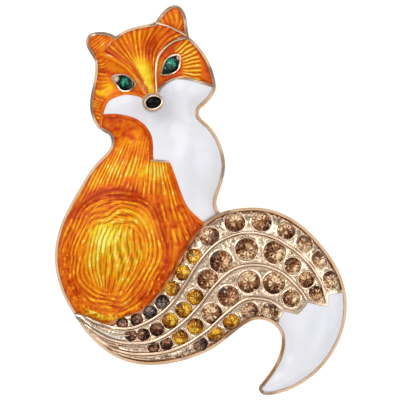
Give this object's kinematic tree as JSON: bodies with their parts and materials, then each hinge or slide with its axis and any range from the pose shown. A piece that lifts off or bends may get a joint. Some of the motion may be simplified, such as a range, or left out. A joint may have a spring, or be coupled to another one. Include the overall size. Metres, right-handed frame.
{
  "type": "figural animal brooch",
  "caption": "Fox brooch in plated cast metal with enamelled coat, white chest and tail tip, a jewelled sweeping tail, a hollow back and a closed pin finding.",
  "frame": {"origin": "middle of the brooch's footprint, in the plane of its back rim", "axes": "+Z out of the front, +Y up and +X to the wearer's left, which is right in the front view"},
  "size_m": [0.0406, 0.0543, 0.0073],
  "materials": {
    "gold_plate": "bright light gold plate",
    "enamel_orange": "clear orange and yellow enamel over textured metal",
    "enamel_white": "opaque white enamel, glossy",
    "enamel_black": "opaque black enamel, glossy",
    "stone_green": "foiled cut glass",
    "stone_champagne": "foiled cut glass",
    "stone_amber": "foiled cut glass",
    "stone_brown": "foiled cut glass",
    "stone_smoke": "foiled cut glass"
  },
  "bodies": {
    "root": {"cast_body": "gold_plate", "pin_clasp": "gold_plate", "enamel_ear_left": "enamel_orange", "enamel_ear_right": "enamel_orange", "enamel_forehead": "enamel_orange", "enamel_face_left": "enamel_orange", "enamel_face_right": "enamel_orange", "enamel_body": "enamel_orange", "enamel_chest": "enamel_white", "enamel_tail_tip": "enamel_white", "enamel_nose": "enamel_black", "stone_upper_01": "stone_brown", "stone_upper_02": "stone_brown", "stone_upper_03": "stone_smoke", "stone_upper_04": "stone_smoke", "stone_upper_05": "stone_amber", "stone_upper_06": "stone_amber", "stone_upper_07": "stone_amber", "stone_upper_08": "stone_champagne", "stone_upper_09": "stone_champagne", "stone_upper_10": "stone_champagne", "stone_upper_11": "stone_champagne", "stone_upper_12": "stone_champagne", "stone_upper_13": "stone_champagne", "stone_upper_14": "stone_champagne", "stone_second_01": "stone_brown", "stone_second_02": "stone_brown", "stone_second_03": "stone_brown", "stone_second_04": "stone_amber", "stone_second_05": "stone_amber", "stone_second_06": "stone_amber", "stone_second_07": "stone_champagne", "stone_second_08": "stone_champagne", "stone_second_09": "stone_champagne", "stone_second_10": "stone_champagne", "stone_second_11": "stone_champagne", "stone_second_12": "stone_champagne", "stone_second_13": "stone_champagne", "stone_third_01": "stone_brown", "stone_third_02": "stone_brown", "stone_third_03": "stone_amber", "stone_third_04": "stone_amber", "stone_third_05": "stone_champagne", "stone_third_06": "stone_champagne", "stone_third_07": "stone_champagne", "stone_third_08": "stone_champagne", "stone_third_09": "stone_champagne", "stone_lower_01": "stone_brown", "stone_lower_02": "stone_amber", "stone_lower_03": "stone_amber", "stone_lower_04": "stone_champagne", "stone_lower_05": "stone_champagne", "stone_eye_left": "stone_green", "stone_eye_right": "stone_green"}
  },
  "joints": []
}
